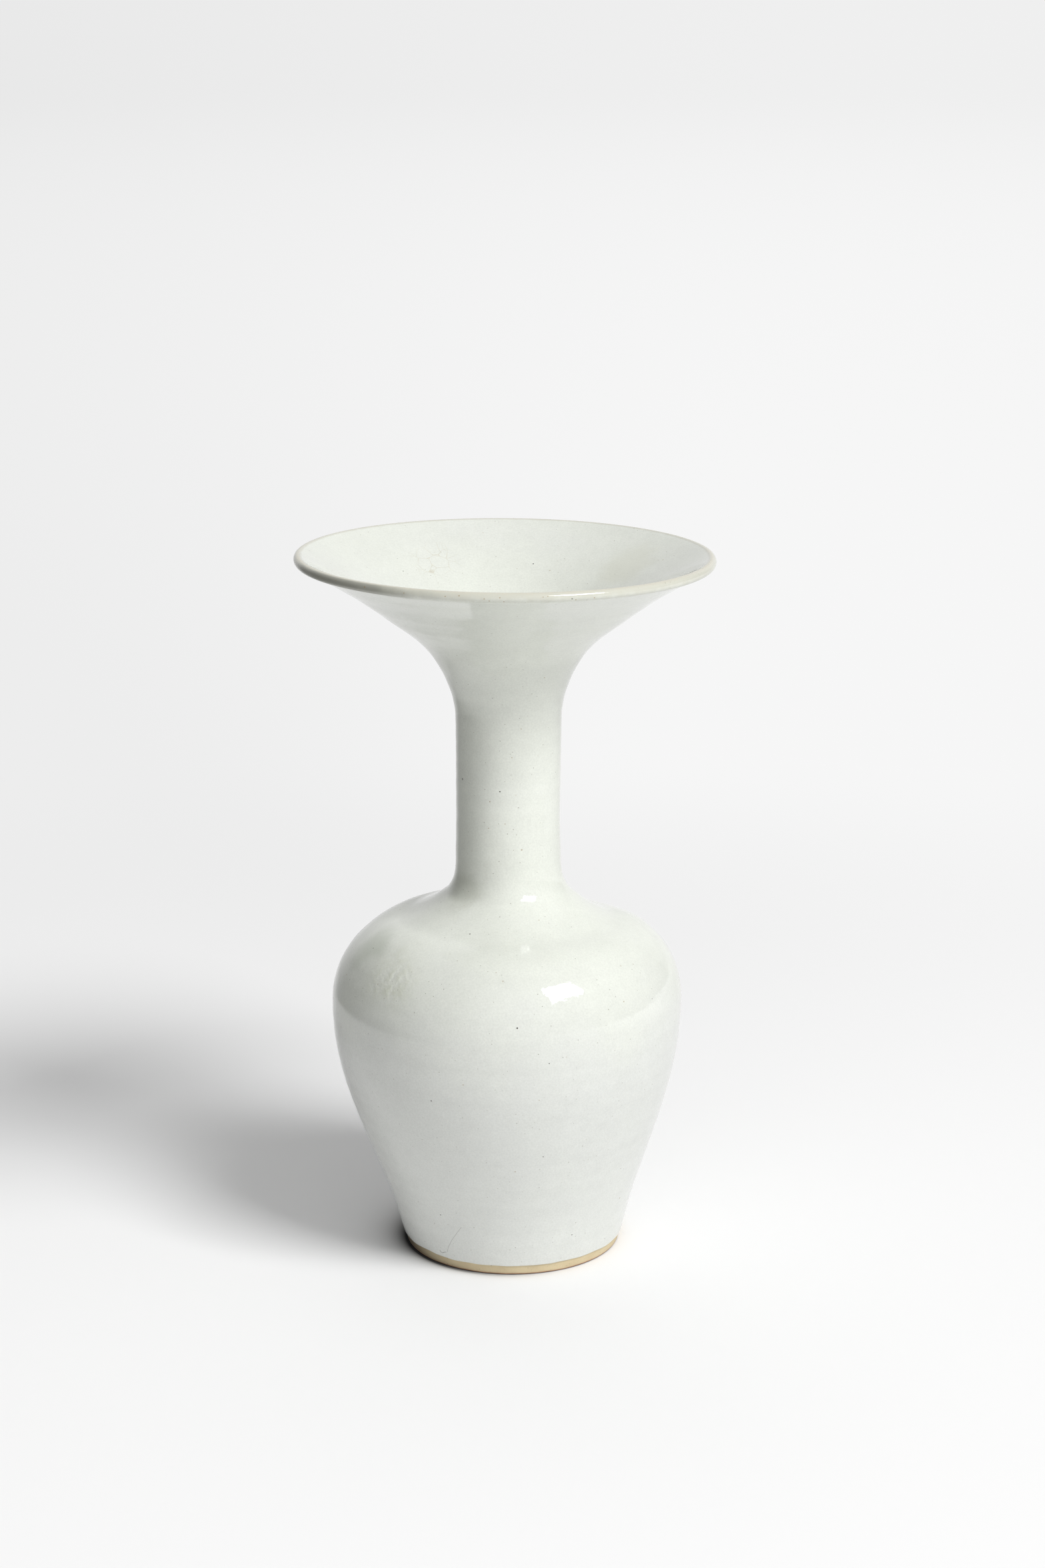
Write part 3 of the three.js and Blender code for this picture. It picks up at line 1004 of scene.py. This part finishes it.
FLOOR_WIDTH = 60
PAPER_EDGE = (0.32, 0.56)
PAPER_WHITE = (0.860, 0.860, 0.860, 1)
PAPER_PAINTED_LIGHT_IN_FRONT = (0.886, 0.886, 0.886, 1)
PAINTED_LIGHT_FROM_TO = (0.05, 0.14)
FLOOR_SIDE_NARROWNESS = 2.0
BOARDS = {
    "in_front": (IN_FRONT, 1.12),
    "on_right": (ON_RIGHT, 1.05),
    "behind": (BEHIND, 0.50),
}

# Painted shade where the foot meets the paper, widest and darkest on the left and gone on the
# right.
# Where it gets darker and wider is told by how far a direction leans to its side, from -1 to 1.

FOOT_GAP_START = 0.0437
FOOT_GAP_SIDE = (-0.970, 0.243, 0)
FOOT_GAP_DARKER = (-0.9, 0.9)
FOOT_GAP_SHADES = (0.0, 0.95)
FOOT_GAP_WIDER = (0.66, 1.0)
FOOT_GAP_REACHES = (0.0012, 0.0062)

# Haze, paler toward the right and a little darker far off. Its sides are told in the same way, by
# how far a direction leans to the right.

HAZE_EDGE = (0.36, 0.80)
HAZE_SIDES = (-0.34, 0.14)
HAZE_LEVELS = (0.847, 0.923)
HAZE_DEPTHS = (1.0, 14.0)
HAZE_FAR_OFF = 0.937
HAZE_IN_GLOSS = (0.70, 0.96)


def shows_background(tree, direction):
    seen = add(tree, "LightPath")
    behind = spread(tree, facing(tree, direction, BEHIND, 1.0), *HAZE_IN_GLOSS)
    glossy = scaled(tree, seen.outputs["Is Glossy Ray"], behind)
    not_lighting = stronger(tree, glossy, seen.outputs["Is Transmission Ray"])
    return stronger(tree, not_lighting, seen.outputs["Is Camera Ray"])


def haze_level(tree, direction):
    return spread(tree, axis(tree, direction, "X"), *HAZE_SIDES, *HAZE_LEVELS)


def painted_shade_at_foot(tree, distance, direction):
    side = measure(tree, "DOT_PRODUCT", direction, FOOT_GAP_SIDE)
    reach = spread(tree, side, *FOOT_GAP_WIDER, *FOOT_GAP_REACHES)
    fall = reckon(tree, "SUBTRACT", FOOT_GAP_START, distance)
    fall = reckon(tree, "EXPONENT", reckon(tree, "DIVIDE", fall, reach))
    fall = reckon(tree, "MINIMUM", fall, 1.0)
    return scaled(tree, fall, spread(tree, side, *FOOT_GAP_DARKER, *FOOT_GAP_SHADES))


def paper_colour(tree, distance, direction):
    front = facing(tree, direction, IN_FRONT, FLOOR_SIDE_NARROWNESS)
    # Painted light: the paper is lighter in front of the vase
    painted_light_in_front = scaled(tree, front, spread(tree, distance, *PAINTED_LIGHT_FROM_TO))
    colour = blend_colours(tree, painted_light_in_front, PAPER_WHITE, PAPER_PAINTED_LIGHT_IN_FRONT)
    # Painted shade on the paper round the foot
    return blend_colours(tree, painted_shade_at_foot(tree, distance, direction), colour, BLACK)


def paper_floor():
    bpy.ops.object.select_all(action="DESELECT")
    bpy.ops.mesh.primitive_plane_add(size=FLOOR_WIDTH, location=(0, 0, 0))
    floor = bpy.context.object
    floor.name = "paper_floor"
    material, tree, where = new_finish("white_paper")
    distance = measure(tree, "LENGTH", where)
    direction = vector(tree, "NORMALIZE", where)
    shown = shows_background(tree, direction)

    paper = add(tree, "BsdfDiffuse", {"Color": paper_colour(tree, distance, direction)})
    boards = summed(tree, *(
        scaled(tree, facing(tree, direction, side, FLOOR_SIDE_NARROWNESS), level)
        for side, level in BOARDS.values()
    ))
    farther = spread(tree, distance, *HAZE_DEPTHS, 1.0, HAZE_FAR_OFF)
    haze = scaled(tree, haze_level(tree, direction), farther)
    level = add(tree, "Mix", {0: shown, 2: boards, 3: haze}).outputs[0]
    past_paper = add(tree, "Mix", {
        0: shown, 2: spread(tree, distance, *PAPER_EDGE), 3: spread(tree, distance, *HAZE_EDGE),
    }).outputs[0]
    glow = add(tree, "Emission", {"Color": WHITE, "Strength": level})
    both = add(tree, "MixShader", {0: past_paper, 1: paper.outputs[0], 2: glow.outputs[0]})
    add(tree, "OutputMaterial", {"Surface": both.outputs[0]})
    floor.data.materials.append(material)


paper_floor()

# Studio light: an oblong softbox high on the right, and the softer light that comes from round it,
# from the ceiling and from the paper behind. Directions are an azimuth, counted from the camera's
# side toward the right, and an elevation.

SOFTBOX_DIRECTION = (48.7, 47.0)
SOFTBOX_DISTANCE = 6.0
SOFTBOX_ANGLES = (22.0, 18.0)
SOFTBOX_POWER_PER_SQUARE_METRE = 8.05

SOFT_LIGHT = {
    "wall_in_front": ((0, 12), 0.79),
    "glow_over_softbox": ((45, 50), 0.40),
    "paper_behind": ((180, 12), 0.87),
    "ceiling_behind": ((180, 72), 0.46),
    "ceiling_behind_on_left": ((225, 50), 0.28),
}
SOFT_LIGHT_NARROWNESS = 4.0


def toward(azimuth, elevation):
    azimuth, elevation = math.radians(azimuth), math.radians(elevation)
    level = math.cos(elevation)
    return Vector((math.sin(azimuth) * level, -math.cos(azimuth) * level, math.sin(elevation)))


def hang_softbox():
    direction = toward(*SOFTBOX_DIRECTION)
    bpy.ops.object.light_add(type="AREA", location=direction * SOFTBOX_DISTANCE)
    softbox = bpy.context.object
    softbox.rotation_euler = direction.to_track_quat("Z", "Y").to_euler()
    softbox.data.shape = "RECTANGLE"
    softbox.data.size, softbox.data.size_y = (
        2 * SOFTBOX_DISTANCE * math.tan(math.radians(angle / 2)) for angle in SOFTBOX_ANGLES
    )
    softbox.data.energy = SOFTBOX_POWER_PER_SQUARE_METRE * SOFTBOX_DISTANCE ** 2
    softbox.visible_camera = False


def studio_room():
    world = bpy.data.worlds.new("white_studio")
    bpy.context.scene.world = world
    world.use_nodes = True
    tree = world.node_tree
    tree.nodes.clear()
    outlook = add(tree, "TexCoord").outputs["Generated"]
    light = summed(tree, *(
        scaled(tree, facing(tree, outlook, toward(*direction), SOFT_LIGHT_NARROWNESS), strength)
        for direction, strength in SOFT_LIGHT.values()
    ))
    seen = shows_background(tree, outlook)
    haze = scaled(tree, haze_level(tree, outlook), HAZE_FAR_OFF)
    strength = add(tree, "Mix", {0: seen, 2: light, 3: haze}).outputs[0]
    room = add(tree, "Background", {"Color": WHITE, "Strength": strength})
    add(tree, "OutputWorld", {"Surface": room.outputs[0]})


hang_softbox()
studio_room()

# Camera

bpy.ops.object.camera_add(location=camera_place, rotation=camera_turn)
camera = bpy.context.object
camera.data.sensor_width = LONG_SIDE_OF_FILM_MM
camera.data.lens = LONG_SIDE_OF_FILM_MM * FOCAL_LENGTH_PX / PHOTO_HEIGHT
bpy.context.scene.camera = camera

bpy.context.scene.view_settings.view_transform = "Standard"
